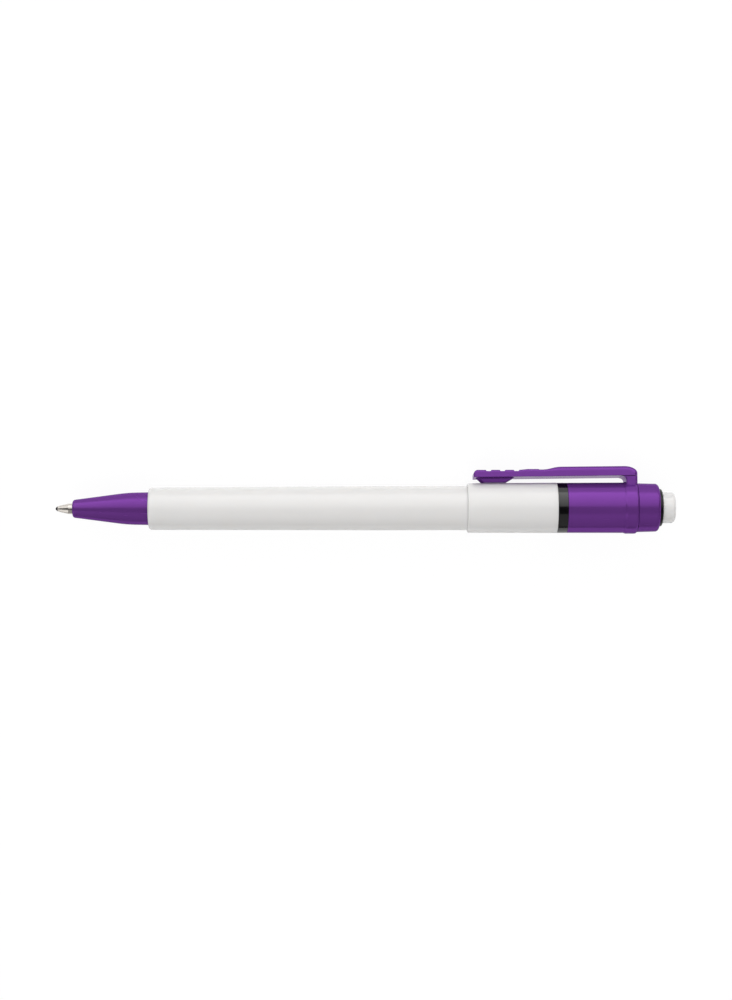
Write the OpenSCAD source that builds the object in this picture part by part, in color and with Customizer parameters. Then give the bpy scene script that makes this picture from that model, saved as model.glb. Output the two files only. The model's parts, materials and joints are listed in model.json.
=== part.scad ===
// Retractable ballpoint pen with a push button, a turning cam that latches the refill, and a moulded clip.
// Each piece is drawn along X, from the writing ball at x = 0 to the push button, with the clip towards +Z.
// lay_down() then rests it on its clip collar and on the outer corner of its clip, as it lies on a desk.

/* [Lengths along the pen] */
// Refill tip that shows in front of the nose cone
tip_out = 3.9; // [3.2:0.1:4.6]
// Nose cone that shows
nose_len = 17.15; // [15:0.05:22]
// Lower barrel that shows
lower_len = 72.05; // [66:0.05:80]
// Upper barrel
upper_len = 20.4; // [19:0.1:26]
// Spacer ring
ring_len = 2.2; // [1.5:0.1:4]
// Rear housing in front of the clip collar
housing_len = 12.75; // [12:0.05:18]
// Clip collar
collar_len = 3; // [2.6:0.1:4]
// End cap
cap_len = 5.25; // [4.8:0.05:8]
// End bush that stands out of the end cap
bush_out = 0.6; // [0.5:0.1:1.2]
// Push button that stands out of the bush while the refill is latched out
button_out = 2.7; // [2:0.1:4]

/* [Outside diameters] */
// Nose cone at its front edge
nose_front_d = 3.9; // [3.7:0.05:4.4]
// Nose cone at its knee
nose_knee_d = 7.18; // [6.9:0.02:7.3]
// Nose cone where it enters the barrel
nose_d = 7.4; // [7.3:0.05:8]
// Lower barrel at its front edge
barrel_front_d = 9.6; // [9.3:0.05:10.4]
// Lower barrel along its straight stretch
barrel_d = 10; // [9.6:0.1:10.8]
// Upper barrel at its front edge
upper_front_d = 11.2; // [10.9:0.05:12]
// Upper barrel at the spacer ring
upper_d = 11.38; // [10.9:0.02:12]
// Spacer ring
ring_d = 11.34; // [10.9:0.02:12]
// Rear housing
housing_d = 11.32; // [10.9:0.02:12]
// Clip collar
collar_d = 11.77; // [11.4:0.01:12.6]
// End cap at the clip collar
cap_d = 11.04; // [10.9:0.02:11.4]
// End cap where its chamfer starts
cap_end_d = 10.9; // [10.4:0.05:11.3]
// End bush
bush_d = 8.5; // [8.1:0.05:8.7]
// Push button
button_d = 7; // [6.7:0.05:7.2]

/* [Outside shape] */
// From the nose cone's front edge to its knee
nose_cone_len = 12.45; // [10:0.05:13.5]
// Radius that blends the nose cone's knee
knee_radius = 38; // [15:1:45]
// Rounding of the nose cone's front edge
nose_round = 0.6; // [0.2:0.05:0.6]
// Length over which the lower barrel widens
barrel_taper_len = 52; // [40:0.5:56]
// Rounding of the lower barrel's front edge
barrel_round = 0.68; // [0.2:0.02:0.9]
// Rounding of the upper barrel's front edge
upper_round = 0.25; // [0.1:0.05:0.5]
// Rounding of the edges where outer pieces meet
seam_round = 0.1; // [0.05:0.01:0.2]
// Rounding of the clip collar's edges
collar_round = 0.4; // [0.1:0.05:0.6]
// Length of the end cap's chamfer
chamfer_len = 0.7; // [0.3:0.05:1.2]
// Flat rim of the end cap around the bush
cap_rim = 0.12; // [0.05:0.01:0.4]
// Rounding of the end bush's rim
bush_round = 0.4; // [0.1:0.05:0.5]
// Rounding of the push button's end
button_round = 0.7; // [0.2:0.05:1.2]

/* [Clip] */
// Width of the clip
clip_w = 6.4; // [5:0.1:7]
// Room for the cloth between the upper barrel and the front of the clip arm
pocket_gap = 1.12; // [0.9:0.02:2]
// Rise of the arm's underside from its front to the post
arm_rise = 0.33; // [0:0.01:0.6]
// Thickness of the arm's front part
arm_front_t = 1.68; // [1.3:0.02:2.2]
// Thickness of the arm over the post
arm_rear_t = 2.12; // [1.8:0.02:2.6]
// From the upper barrel's front edge to the front of the arm
arm_setback = 1.25; // [0.5:0.05:3]
// Length of the arm's rounded front end
arm_nose_len = 1.05; // [0.5:0.05:2]
// From the front of the arm to the start of its ramp
ramp_start = 16.45; // [15.5:0.05:18]
// Length of the ramp up to the thicker rear part
ramp_len = 2.6; // [1.5:0.1:4]
// Length of the rounded rear corner
corner_len = 3.3; // [1.5:0.1:5]
// Height of the rounded rear corner
corner_h = 1.45; // [0.8:0.05:1.5]
// Rounding of the arm's long upper edges
arm_round = 0.8; // [0.2:0.05:1]
// Number of grip grooves
grooves = 3; // [1:1:4]
// From the front of the arm to the first groove
groove_start = 3.5; // [2.5:0.1:4]
// Distance between grooves
groove_pitch = 3.15; // [2:0.05:3.2]
// Width of a groove at the surface
groove_w = 1.25; // [0.8:0.05:1.6]
// Width of a groove at its floor
groove_floor_w = 0.6; // [0.3:0.05:0.7]
// Depth of a groove
groove_depth = 0.33; // [0.15:0.01:0.5]
// From the front of the arm to the raised land
land_start = 12; // [11.9:0.05:12.5]
// Length of the raised land
land_len = 2.9; // [1.5:0.1:2.9]
// Height of the raised land
land_h = 0.12; // [0.05:0.01:0.2]
// Width of the pad that holds the cloth
pad_w = 3; // [2:0.1:4.5]
// From the front of the arm to the pad
pad_start = 0.8; // [0.6:0.05:2]
// Length of the pad where it leaves the arm
pad_len = 8.4; // [6:0.1:10]
// Run of the pad's front slope
pad_front_run = 1; // [0.5:0.05:2]
// Run of the pad's rear slope
pad_rear_run = 1.7; // [0.5:0.05:3]
// Gap between the pad and the barrel
pad_gap = 0.1; // [0.05:0.01:0.3]
// From the clip collar's front edge to the post
post_lead = 0.4; // [0.2:0.05:0.6]
// From the post to the clip collar's rear edge
post_trail = 0.2; // [0.1:0.05:0.5]
// Radius inside the corner of post and arm
post_fillet = 1; // [0.3:0.05:1.05]
// Gap at the joint line between post and arm
seam_gap = 0.1; // [0.08:0.01:0.2]
// Radius of the bead on which the arm rocks
bead_r = 0.45; // [0.3:0.01:0.6]
// Length of the bead
bead_len = 4; // [2:0.1:4.6]
// From the back of the post to the bead
bead_setback = 0.9; // [0.7:0.05:1.2]

/* [Fits] */
// Radial gap between pieces that are pressed or screwed together
fit_gap = 0.05; // [0.02:0.01:0.08]
// Radial gap of a piece that slides or turns
run_gap = 0.08; // [0.04:0.01:0.1]
// Gap between end faces that meet
end_gap = 0.05; // [0.02:0.01:0.1]
// Bore of the lower barrel
lower_bore_d = 6.6; // [6:0.1:7]
// Nose cone inside the lower barrel
nose_spigot_len = 9; // [6:0.5:14]
// Screwed end of the lower barrel inside the upper barrel
thread_len = 10; // [8:0.1:10.5]
// Diameter of the lower barrel's screwed end
thread_d = 8.9; // [8.4:0.1:9.2]
// Front end of the rear housing inside the upper barrel
housing_spigot_len = 9.5; // [6:0.1:9.8]
// Diameter of the rear housing's front end
housing_spigot_d = 9.2; // [8.9:0.05:9.6]
// Diameter of the rear housing's neck, which carries the clip collar and the end cap
neck_d = 9.9; // [9.7:0.02:10.1]
// Neck inside the end cap
neck_in_cap = 2.5; // [1.5:0.1:2.6]
// Thickness of the end cap's rear wall
cap_wall = 2.4; // [1:0.1:2.6]
// Thickness of the end bush's flange
bush_flange_t = 1.3; // [0.6:0.1:1.6]

/* [Click mechanism] */
// Travel of the push button from latched to released
stroke = 5; // [4.7:0.1:5.6]
// Travel of the push button past the latch
overtravel = 1.2; // [0.6:0.1:1.6]
// From the spacer ring to the front of the guide sleeve
guide_setback = 0.8; // [0.4:0.1:1.6]
// Outside diameter of the guide sleeve
guide_d = 8.8; // [8.7:0.02:8.9]
// Radius inside the guide sleeve's lands
land_r = 2.7; // [2.62:0.01:2.8]
// Radius to the floor of the guide slots
slot_r = 3.45; // [3.42:0.01:3.6]
// Radius to the top of the ribs that run in the slots
rib_r = 3.3; // [3.1:0.01:3.32]
// Number of guide slots
slots = 4; // [3:1:4]
// Width of a rib
rib_w = 1.2; // [0.8:0.1:1.4]
// Gap on each side of a rib in its slot
rib_gap = 0.2; // [0.1:0.02:0.3]
// Length of the cam rotor's ribs
rotor_rib_len = 4; // [2.5:0.1:5]
// Length of the plunger's ribs
plunger_rib_len = 3; // [2:0.1:3.5]
// From the guide sleeve's front face to the plunger's ribs
plunger_rib_lead = 4.7; // [4:0.1:5]
// Gap between the cam rotor's ribs and the guide sleeve's front face
latch_gap = 0.15; // [0.1:0.01:0.3]
// Depth of the latch notches in the guide sleeve's front face
notch_depth = 0.6; // [0.3:0.05:1]
// Width of a latch notch
notch_w = 1.5; // [1.2:0.05:1.6]
// Outside radius of the cam rotor and the plunger
cam_r = 2.5; // [2.4:0.01:2.52]
// Height of the crown teeth
crown_h = 0.7; // [0.4:0.05:0.9]
// Width of the gap between crown teeth
crown_w = 0.8; // [0.6:0.05:0.85]
// Gap between the crown teeth of rotor and plunger
crown_gap = 0.1; // [0.05:0.01:0.3]
// Radius of the rotor's pilot stem
stem_r = 1.2; // [0.9:0.05:1.3]
// Length of the rotor's pilot stem
stem_len = 6; // [3:0.1:8]
// Length of the cam rotor, from the mouth of its cup to its crown teeth
rotor_len = 13.55; // [10:0.05:16]
// Refill held in the rotor's cup
cup_depth = 3.5; // [2:0.1:4]
// Gap that is left at the end of a moving rib or skirt
stop_gap = 0.1; // [0.05:0.01:0.2]
// Thickness of the push button's end
button_wall = 1.5; // [1:0.1:2]

/* [Refill] */
// Diameter of the writing ball
ball_d = 0.8; // [0.7:0.05:1]
// Gap around the writing ball in its socket
ball_gap = 0.015; // [0.01:0.001:0.03]
// Share of the ball's radius that the socket's lip reaches past its middle
ball_lip = 0.25; // [0.1:0.05:0.4]
// Thickness of the socket's lip
lip_t = 0.06; // [0.04:0.01:0.1]
// From the ball's front to the end of the tip's cone
tip_cone_len = 2.9; // [2:0.1:3.6]
// Diameter of the refill tip
tip_d = 2.42; // [2.2:0.02:2.5]
// Length of the tip's stem inside the tip holder
tip_stem_len = 4; // [2:0.1:6]
// Diameter of the tip's stem
tip_stem_d = 1.7; // [1.4:0.05:1.9]
// Diameter of the ink channel in the tip
tip_channel_d = 0.6; // [0.4:0.05:0.7]
// Outside diameter of the refill tube and the tip holder
tube_d = 3; // [2.8:0.05:3.1]
// Wall of the refill tube
tube_wall = 0.5; // [0.3:0.05:0.6]
// Diameter of the tip holder's flange, on which the spring presses
flange_d = 4.3; // [4:0.05:4.5]
// Thickness of the tip holder's flange
flange_t = 1; // [0.6:0.1:2]
// Length of the tip holder's stem inside the tube
holder_stem_len = 5; // [3:0.1:8]
// Diameter of the ink channel in the tip holder
holder_channel_d = 0.9; // [0.6:0.05:1]
// Length of the ink behind the tip holder
ink_len = 50; // [10:1:62]
// Length of the grease plug behind the ink
grease_len = 4; // [2:0.5:6]
// Gap around the ink and the grease
ink_gap = 0.03; // [0.02:0.01:0.05]

/* [Return spring] */
// From the nose cone's front edge to the spring's seat
seat_depth = 8.6; // [7.5:0.1:10]
// Length of the spring while the refill is latched out
spring_len = 17; // [14:0.1:20]
// Outside diameter of the spring
spring_d = 4.4; // [4.3:0.02:4.5]
// Diameter of the spring's wire
wire_d = 0.4; // [0.3:0.02:0.44]
// Number of turns
spring_turns = 10; // [7:1:12]
// Pitch of the closed turn at each end
end_pitch = 0.9; // [0.85:0.05:1.1]
// Gap around the spring in the nose cone
spring_gap = 0.2; // [0.1:0.02:0.25]

/* [Hidden] */
$fn = 96;
arc_steps = 8;
wire_sides = 6;
rings_per_turn = 8;
past = 1;
crown_teeth = 2 * slots;

purple = [0.48, 0.26, 0.61];
white = [0.93, 0.93, 0.92];
black = [0.07, 0.07, 0.08];
nickel = [0.76, 0.75, 0.72];
natural = [0.86, 0.87, 0.84];
ink_blue = [0.08, 0.10, 0.42];

// Stations along the pen, from the front
x_nose = tip_out;
x_lower = x_nose + nose_len;
x_upper = x_lower + lower_len;
x_ring = x_upper + upper_len;
x_housing = x_ring + ring_len;
x_collar = x_housing + housing_len;
x_cap = x_collar + collar_len;
x_cap_end = x_cap + cap_len;
x_bush_end = x_cap_end + bush_out;
pen_len = x_bush_end + button_out;
x_seat = x_nose + seat_depth;
x_flange = x_seat + spring_len;
x_tube = x_flange + flange_t;
x_holder = x_seat + overtravel + spring_gap;
x_nose_end = x_lower + nose_spigot_len;
x_thread_end = x_upper + thread_len;
x_housing_front = x_housing - housing_spigot_len;
x_neck_end = x_cap + neck_in_cap;
x_cap_wall = x_cap_end - cap_wall;
x_bush = x_cap_wall - end_gap - bush_flange_t;
x_guide = x_housing + guide_setback;
x_guide_end = x_bush - end_gap;
x_rotor_ribs = x_guide - latch_gap - rotor_rib_len;
x_rotor_end = x_guide - latch_gap + crown_h;
x_cup = x_rotor_end - rotor_len;
x_refill_end = x_cup + cup_depth;
x_plunger = x_rotor_end + crown_gap;
x_plunger_ribs = x_guide + plunger_rib_lead;
x_slot_end = x_plunger_ribs + plunger_rib_len + stroke + stop_gap;
x_skirt = x_slot_end + overtravel + stop_gap;
x_socket_end = pen_len - button_wall;

// Radii that several pieces share
nose_r = nose_d / 2;
barrel_r = barrel_d / 2;
collar_r = collar_d / 2;
neck_r = neck_d / 2;
bush_r = bush_d / 2;
guide_r = guide_d / 2;
button_r = button_d / 2;
tube_r = tube_d / 2;
tube_bore_r = tube_r - tube_wall;
tip_r = tip_d / 2;
tip_stem_r = tip_stem_d / 2;
ball_r = ball_d / 2;
rotor_room_r = rib_r + 2 * rib_gap;
button_bore_r = button_r + run_gap;
upper_front_r = upper_front_d / 2;

// Heights of the clip above the pen's axis
arm_under_front = upper_front_r + pocket_gap;
arm_under_rear = arm_under_front + arm_rise;
arm_top_front = arm_under_front + arm_front_t;
arm_top_rear = arm_under_rear + arm_rear_t;
post_top = arm_under_rear - seam_gap;
x_arm = x_upper + arm_setback;
x_post = x_collar + post_lead;
x_post_end = x_cap - post_trail;
x_bead = x_post_end - bead_setback;

// The pen lies on its collar and on the rounded outer corner of its clip
corner_up = arm_top_rear - arm_round;
corner_out = clip_w / 2 - arm_round;
corner_reach = norm([corner_up, corner_out]);
lean = atan2(corner_up, corner_out) - acos((collar_r - arm_round) / corner_reach);
clip_side = corner_out * sin(lean) + corner_up * cos(lean) + arm_round;
axis_y = -(clip_side - collar_r) / 2;

// Points along an arc with separate radii, so that it can be an ellipse's
function arc(x, y, rx, ry, from, to) =
    [for (i = [0:arc_steps])
        let (a = from + (to - from) * i / arc_steps)
        [x + rx * cos(a), y + ry * sin(a)]];

// Rounded outer edge at the front or the rear of a turned piece
function front_edge(x, r, k, slope = 0) = arc(x + k, r - k, k, k, 180, 90 + slope);
function rear_edge(x, r, k) = arc(x - k, r - k, k, k, 90, 0);

// Turns a profile of [x, r] points about the pen's axis
module turned(profile) {
    rotate([0, 90, 0])
        rotate_extrude()
            polygon([for (p = profile) [p[1], p[0]]]);
}

// Plain tube along the pen
module tube(x0, x1, outer, inner) {
    turned([[x0, inner], [x0, outer], [x1, outer], [x1, inner]]);
}

// Solid rod along the pen
module rod(x0, x1, r) {
    translate([x0, 0, 0])
        rotate([0, 90, 0])
            cylinder(r = r, h = x1 - x0);
}

// Extrudes a side view of [x, z] points across the pen, centred
module across(width, profile) {
    rotate([90, 0, 0])
        linear_extrude(height = width, center = true)
            polygon(profile);
}

// Repeats a shape around the pen's axis
module around(count, start = 0) {
    for (i = [0:count - 1])
        rotate([start + i * 360 / count, 0, 0])
            children();
}

// Places the pen on a level surface, with the middle of its box above the origin
module lay_down() {
    translate([-pen_len / 2, axis_y, collar_r])
        rotate([-90 - lean, 0, 0])
            children();
}

// Nose cone: a cone that a large radius blends into a nearly straight end, with the spring's seat inside
module nose_cone() {
    front_r = nose_front_d / 2;
    knee = [x_nose + nose_cone_len, nose_knee_d / 2];
    cone_slope = atan2(knee[1] - front_r, nose_cone_len);
    end_slope = atan2(nose_r - knee[1], x_lower - knee[0]);
    blend = knee_radius * tan((cone_slope - end_slope) / 2);
    start = knee - blend * [cos(cone_slope), sin(cone_slope)];
    middle = start + knee_radius * [sin(cone_slope), -cos(cone_slope)];
    outside = concat(
        front_edge(x_nose, front_r, nose_round, cone_slope),
        arc(middle[0], middle[1], knee_radius, knee_radius, 90 + cone_slope, 90 + end_slope),
        [[x_lower, nose_r], [x_nose_end, nose_r]]);
    spring_bore = spring_d / 2 + spring_gap;
    tip_hole = tip_r + run_gap;
    inside = [[x_nose_end, spring_bore], [x_seat, spring_bore], [x_seat, tip_hole], [x_nose, tip_hole]];
    lay_down() color(purple) turned(concat(outside, inside));
}

// Lower barrel: widens to a straight stretch, and its rear end screws into the upper barrel
module lower_barrel() {
    outside = concat(
        front_edge(x_lower, barrel_front_d / 2, barrel_round),
        [[x_lower + barrel_taper_len, barrel_r], [x_upper, barrel_r]],
        [[x_upper, thread_d / 2], [x_thread_end, thread_d / 2]]);
    nose_seat = x_nose_end + end_gap;
    nose_bore = nose_r + fit_gap;
    bore = lower_bore_d / 2;
    inside = [[x_thread_end, bore], [nose_seat, bore], [nose_seat, nose_bore], [x_lower, nose_bore]];
    lay_down() color(white) turned(concat(outside, inside));
}

// Upper barrel: takes the lower barrel's screwed end and the rear housing's front end
module upper_barrel() {
    outside = concat(
        front_edge(x_upper, upper_front_r, upper_round),
        rear_edge(x_ring, upper_d / 2, seam_round));
    step = x_thread_end + end_gap;
    thread_bore = thread_d / 2 + fit_gap;
    spigot_bore = housing_spigot_d / 2 + fit_gap;
    inside = [[x_ring, spigot_bore], [step, spigot_bore], [step, thread_bore], [x_upper, thread_bore]];
    lay_down() color(white) turned(concat(outside, inside));
}

// Spacer ring between the upper barrel and the rear housing
module spacer_ring() {
    ring_r = ring_d / 2;
    outside = concat(
        front_edge(x_ring, ring_r, seam_round),
        rear_edge(x_housing, ring_r, seam_round));
    bore = housing_spigot_d / 2 + fit_gap;
    lay_down() color(black) turned(concat(outside, [[x_housing, bore], [x_ring, bore]]));
}

// Rear housing: its front end carries the spacer ring, its neck the clip collar and the end cap
module rear_housing() {
    spigot_r = housing_spigot_d / 2;
    outside = concat(
        [[x_housing_front, spigot_r], [x_housing, spigot_r]],
        front_edge(x_housing, housing_d / 2, seam_round),
        rear_edge(x_collar, housing_d / 2, seam_round),
        [[x_collar, neck_r], [x_neck_end, neck_r]]);
    guide_bore = guide_r + fit_gap;
    guide_seat = x_guide - end_gap;
    inside = [[x_neck_end, guide_bore], [guide_seat, guide_bore], [guide_seat, rotor_room_r],
        [x_housing_front, rotor_room_r]];
    lay_down() color(purple) turned(concat(outside, inside));
}

// Clip collar: a ring on the rear housing's neck, with the post and the bead that carry the clip arm
module clip_collar() {
    ring = concat(
        front_edge(x_collar, collar_r, collar_round),
        rear_edge(x_cap, collar_r, collar_round),
        [[x_cap, neck_r], [x_collar, neck_r]]);
    post_foot = collar_r - 2 * (collar_r - neck_r);
    post = concat(
        [[x_post, post_foot], [x_post_end, post_foot], [x_post_end, post_top]],
        arc(x_post - post_fillet, post_top - post_fillet, post_fillet, post_fillet, 90, 0));
    lay_down() color(purple) difference() {
        union() {
            turned(ring);
            across(clip_w, post);
            translate([x_bead, 0, post_top])
                rotate([90, 0, 0])
                    cylinder(r = bead_r, h = bead_len, center = true);
        }
        rod(x_collar - past, x_cap + past, neck_r + fit_gap);
    }
}

// Bar with rounded upper edges, whose top runs from one [x, z] point to another
module rounded_bar(from, to) {
    slope = atan2(to[1] - from[1], to[0] - from[0]);
    depth = arm_top_rear - arm_under_front + past;
    inner_w = clip_w - 2 * arm_round;
    translate([from[0], 0, from[1]])
        rotate([0, -slope, 0])
            rotate([90, 0, 90])
                linear_extrude(height = norm(to - from)) {
                    translate([-clip_w / 2, -depth])
                        square([clip_w, depth - arm_round]);
                    translate([-inner_w / 2, -depth])
                        square([inner_w, depth]);
                    for (side = [-1, 1])
                        translate([side * inner_w / 2, -arm_round])
                            circle(r = arm_round);
                }
}

// Clip arm: rounded front, grip grooves, raised land, ramp, rounded rear corner and a pad for the cloth
module clip_arm() {
    ramp = [x_arm + ramp_start, arm_top_front];
    ramp_end = [x_arm + ramp_start + ramp_len, arm_top_rear];
    ramp_tan = (ramp_end[1] - ramp[1]) / ramp_len;
    lap = arm_round * ramp_tan;
    back = [lap, lap * ramp_tan];
    land = x_arm + land_start;
    land_top = arm_top_front + land_h;
    corner = [x_post_end - corner_len, arm_top_rear - corner_h];
    groove_points = [for (i = [grooves - 1:-1:0])
        let (middle = x_arm + groove_start + i * groove_pitch, floor_z = arm_top_front - groove_depth)
        each [[middle + groove_w / 2, arm_top_front], [middle + groove_floor_w / 2, floor_z],
            [middle - groove_floor_w / 2, floor_z], [middle - groove_w / 2, arm_top_front]]];
    side_view = concat(
        [[x_arm, arm_under_front], [x_post - post_fillet, arm_under_rear], [x_post_end, arm_under_rear]],
        arc(corner[0], corner[1], corner_len, corner_h, 0, 90),
        [ramp_end, ramp],
        [[land + land_len, arm_top_front], [land + land_len - land_h, land_top],
            [land + land_h, land_top], [land, arm_top_front]],
        groove_points,
        arc(x_arm + arm_nose_len, arm_under_front, arm_nose_len, arm_front_t, 90, 180));
    pad = x_arm + pad_start;
    pad_bottom = max(upper_front_d, upper_d) / 2 + pad_gap;
    pad_view = [[pad, arm_under_rear], [pad + pad_front_run, pad_bottom],
        [pad + pad_len - pad_rear_run, pad_bottom], [pad + pad_len, arm_under_rear]];
    lay_down() color(purple) difference() {
        union() {
            intersection() {
                across(clip_w + past, side_view);
                union() {
                    rounded_bar([x_arm - past, land_top], [ramp_end[0] + past, land_top]);
                    rounded_bar(ramp - back, ramp_end - back);
                    rounded_bar(ramp_end - [2 * lap, 0], [x_post_end + past, arm_top_rear]);
                }
            }
            across(pad_w, pad_view);
        }
        translate([x_bead, 0, post_top])
            rotate([90, 0, 0])
                cylinder(r = bead_r + fit_gap, h = bead_len + 2 * run_gap, center = true);
    }
}

// End cap: pushed onto the neck, with a chamfered end around the bush
module end_cap() {
    hole = bush_r + fit_gap;
    socket = neck_r + fit_gap;
    outside = concat(
        front_edge(x_cap, cap_d / 2, seam_round),
        [[x_cap_end - chamfer_len, cap_end_d / 2], [x_cap_end, hole + cap_rim]]);
    inside = [[x_cap_end, hole], [x_cap_wall, hole], [x_cap_wall, socket], [x_cap, socket]];
    lay_down() color(purple) turned(concat(outside, inside));
}

// End bush: guides the push button, and its flange is held by the end cap
module end_bush() {
    shoulder = x_cap_wall - end_gap;
    outside = concat(
        [[x_bush, guide_r], [shoulder, guide_r], [shoulder, bush_r]],
        rear_edge(x_bush_end, bush_r, bush_round));
    lay_down() color(black)
        turned(concat(outside, [[x_bush_end, button_bore_r], [x_bush, button_bore_r]]));
}

// Guide sleeve: slots for the ribs, latch notches between them, and a bore for the push button's skirt
module guide_sleeve() {
    slot_w = rib_w + 2 * rib_gap;
    body = [[x_guide, land_r], [x_guide, guide_r], [x_guide_end, guide_r], [x_guide_end, button_bore_r],
        [x_slot_end, button_bore_r], [x_slot_end, land_r]];
    notch = [[0, -notch_w / 2], [notch_depth, -notch_w / 2], [0, notch_w / 2]];
    lay_down() color(black) difference() {
        turned(body);
        around(slots)
            translate([x_guide - past, -slot_w / 2, 0])
                cube([x_slot_end - x_guide + past, slot_w, slot_r]);
        around(slots, 180 / slots)
            translate([x_guide, 0, 0])
                linear_extrude(height = slot_r)
                    polygon(notch);
    }
}

// Ribs that run in the guide slots
module ribs(x0, len) {
    around(slots)
        translate([x0, -rib_w / 2, stem_r + fit_gap + run_gap])
            cube([len, rib_w, rib_r - stem_r - fit_gap - run_gap]);
}

// Cuts the gaps between crown teeth into an end face, the way the depth points
module crown_cuts(x, depth) {
    gap = [[0, -crown_w / 2], [depth, 0], [0, crown_w / 2]];
    around(crown_teeth)
        translate([x, 0, 0])
            linear_extrude(height = cam_r + past)
                polygon(gap);
}

// Push button: a cap over the plunger's end, whose skirt slides in the bush and the guide sleeve
module push_button() {
    socket = cam_r + fit_gap;
    outside = concat([[x_skirt, button_r]], rear_edge(pen_len, button_r, button_round));
    inside = [[pen_len, 0], [x_socket_end, 0], [x_socket_end, socket], [x_skirt, socket]];
    lay_down() color(white) turned(concat(outside, inside));
}

// Plunger: carries the push button's travel to the rotor through its crown teeth
module plunger() {
    lay_down() color(natural) difference() {
        union() {
            rod(x_plunger, x_socket_end - end_gap, cam_r);
            ribs(x_plunger_ribs, plunger_rib_len);
        }
        rod(x_plunger - past, pen_len, stem_r + run_gap);
        crown_cuts(x_plunger, crown_h);
    }
}

// Cam rotor: holds the refill's end, turns a step at each click and latches on the guide sleeve
module cam_rotor() {
    lay_down() color(natural) union() {
        difference() {
            union() {
                rod(x_cup, x_rotor_end, cam_r);
                ribs(x_rotor_ribs, rotor_rib_len);
            }
            rod(x_cup - past, x_refill_end + end_gap, tube_r + fit_gap);
            crown_cuts(x_rotor_end, -crown_h);
        }
        rod(x_rotor_end - crown_h - past, x_rotor_end + stem_len, stem_r);
    }
}

// Writing ball
module writing_ball() {
    lay_down() color(nickel) translate([ball_r, 0, 0]) sphere(r = ball_r);
}

// Refill tip: a cone whose lip closes round the ball, a straight stretch and a stem in the tip holder
module refill_tip() {
    x_lip = ball_r * (1 - ball_lip);
    socket_r = ball_r + ball_gap;
    channel = tip_channel_d / 2;
    stem_end = x_holder + tip_stem_len;
    outside = [[x_lip, socket_r + lip_t], [tip_cone_len, tip_r], [x_holder, tip_r],
        [x_holder, tip_stem_r], [stem_end, tip_stem_r], [stem_end, channel]];
    back = asin(channel / socket_r);
    lip = acos((x_lip - ball_r) / socket_r);
    socket = arc(ball_r, 0, socket_r, socket_r, back, lip);
    lay_down() color(nickel) turned(concat(outside, socket));
}

// Tip holder: joins the tip to the tube, and its flange takes the spring's push
module tip_holder() {
    stem_r = tube_bore_r - fit_gap;
    stem_end = x_tube + holder_stem_len;
    socket = tip_stem_r + fit_gap;
    socket_end = x_holder + tip_stem_len + end_gap;
    channel = holder_channel_d / 2;
    front = x_holder + end_gap;
    flange_r = flange_d / 2;
    outside = [[front, tube_r], [x_flange, tube_r], [x_flange, flange_r], [x_tube, flange_r],
        [x_tube, stem_r], [stem_end, stem_r]];
    inside = [[stem_end, channel], [socket_end, channel], [socket_end, socket], [front, socket]];
    lay_down() color(natural) turned(concat(outside, inside));
}

// Refill tube, from the tip holder's flange to the rotor's cup
module refill_tube() {
    lay_down() color(natural) tube(x_tube + end_gap, x_refill_end, tube_r, tube_bore_r);
}

// Ink in the tip holder's channel and in the tube
module ink_column() {
    neck = holder_channel_d / 2 - ink_gap;
    full = tube_bore_r - ink_gap;
    x_neck = x_holder + tip_stem_len + 2 * end_gap;
    x_full = x_tube + holder_stem_len + end_gap;
    lay_down() color(ink_blue)
        turned([[x_neck, 0], [x_neck, neck], [x_full, neck], [x_full, full], [x_full + ink_len, full],
            [x_full + ink_len, 0]]);
}

// Grease plug that follows the ink
module grease_follower() {
    x_ink_end = x_tube + holder_stem_len + end_gap + ink_len;
    lay_down() color(natural) rod(x_ink_end, x_ink_end + grease_len, tube_bore_r - ink_gap);
}

// Return spring: one wire with a closed turn at each end
coil_r = (spring_d - wire_d) / 2;
coil_start = x_seat + end_gap + wire_d / 2;
coil_len = spring_len - 2 * end_gap - wire_d;
open_pitch = (coil_len - 2 * end_pitch) / (spring_turns - 2);
coil_rings = spring_turns * rings_per_turn;

// Place along the pen after a number of turns
function coil_x(turn) = coil_start + (turn < 1 ? turn * end_pitch
    : turn > spring_turns - 1 ? coil_len - (spring_turns - turn) * end_pitch
    : end_pitch + (turn - 1) * open_pitch);
function coil_point(turn) = [coil_x(turn), coil_r * cos(360 * turn), coil_r * sin(360 * turn)];
function coil_ring(turn) = [for (i = [0:wire_sides - 1])
    let (a = 360 * i / wire_sides, out = [0, cos(360 * turn), sin(360 * turn)])
    coil_point(turn) + wire_d / 2 * (cos(a) * out + sin(a) * [1, 0, 0])];

// Least gap between turns, measured on points half a turn or more apart
coil_points = [for (i = [0:coil_rings]) coil_point(i / rings_per_turn)];
coil_gap = min([for (i = [0:coil_rings]) for (j = [i + rings_per_turn / 2:coil_rings])
    norm(coil_points[j] - coil_points[i])]) - wire_d;
echo(spring_least_gap = coil_gap);

module return_spring() {
    points = [for (i = [0:coil_rings]) each coil_ring(i / rings_per_turn)];
    last = coil_rings * wire_sides;
    walls = [for (i = [0:coil_rings - 1]) for (k = [0:wire_sides - 1])
        let (a = i * wire_sides + k, b = i * wire_sides + (k + 1) % wire_sides)
        each [[a, a + wire_sides, b], [b, a + wire_sides, b + wire_sides]]];
    front = [for (k = [1:wire_sides - 2]) [0, k, k + 1]];
    rear = [for (k = [1:wire_sides - 2]) [last, last + k + 1, last + k]];
    lay_down() color(nickel) polyhedron(points, concat(walls, front, rear));
}

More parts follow.
